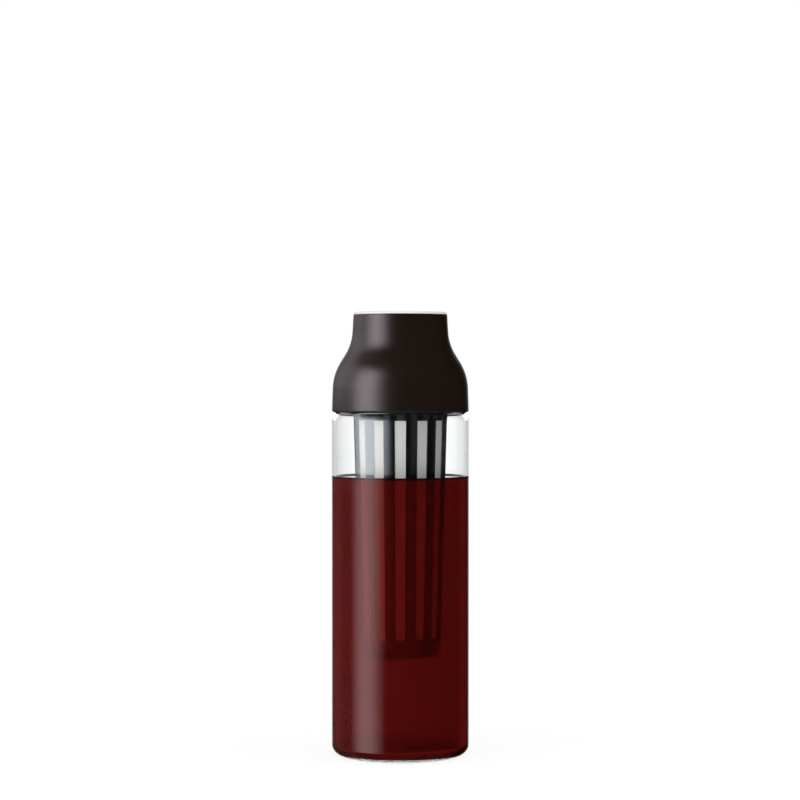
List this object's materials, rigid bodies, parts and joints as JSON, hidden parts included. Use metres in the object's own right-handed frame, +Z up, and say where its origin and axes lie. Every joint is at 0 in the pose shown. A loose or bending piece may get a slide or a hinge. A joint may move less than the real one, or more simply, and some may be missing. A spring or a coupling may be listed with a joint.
{
  "type": "cold brew coffee maker",
  "caption": "Tall glass carafe with a hanging perforated steel strainer and a dark waisted pouring lid with a lift-up stopper.",
  "frame": {"origin": "centre of the flat base, in the plane that the carafe stands on", "axes": "+Z up along the axis of the carafe; -Y is the side that one of the strainer's windows faces"},
  "size_m": [0.0906, 0.0906, 0.292],
  "materials": {
    "clear_glass": "clear, fire polished",
    "polished_steel": "mirror polished stainless steel",
    "etched_steel": "fine etched screen",
    "brown_plastic": "matt moulded, dark brown",
    "milky_plastic": "milky, slightly translucent",
    "black_silicone": "smooth silicone",
    "pale_silicone": "smooth translucent silicone",
    "steel_clip": "plain stainless"
  },
  "bodies": {
    "carafe": {"glass_carafe": "clear_glass"},
    "strainer": {"strainer_sleeve": "polished_steel", "mesh_screen": "etched_steel", "strainer_bowl": "polished_steel", "strainer_rim": "polished_steel"},
    "lid": {"lid_shell": "brown_plastic", "pour_lip": "milky_plastic", "lid_liner": "brown_plastic", "neck_gasket": "black_silicone", "seat_gasket": "black_silicone", "pour_guide": "milky_plastic"},
    "stopper": {"stopper_cap": "milky_plastic", "stopper_seal": "pale_silicone", "stopper_base": "milky_plastic", "stem_clip": "steel_clip"}
  },
  "joints": [
    {"name": "strainer_lift", "type": "slide", "parent": "carafe", "child": "strainer", "axis": [0, 0, 1], "range_m": [0, 0.2]},
    {"name": "lid_lift", "type": "slide", "parent": "strainer", "child": "lid", "axis": [0, 0, 1], "range_m": [0, 0.045]},
    {"name": "stopper_lift", "type": "slide", "parent": "lid", "child": "stopper", "axis": [0, 0, 1], "range_m": [0, 0.018]}
  ]
}
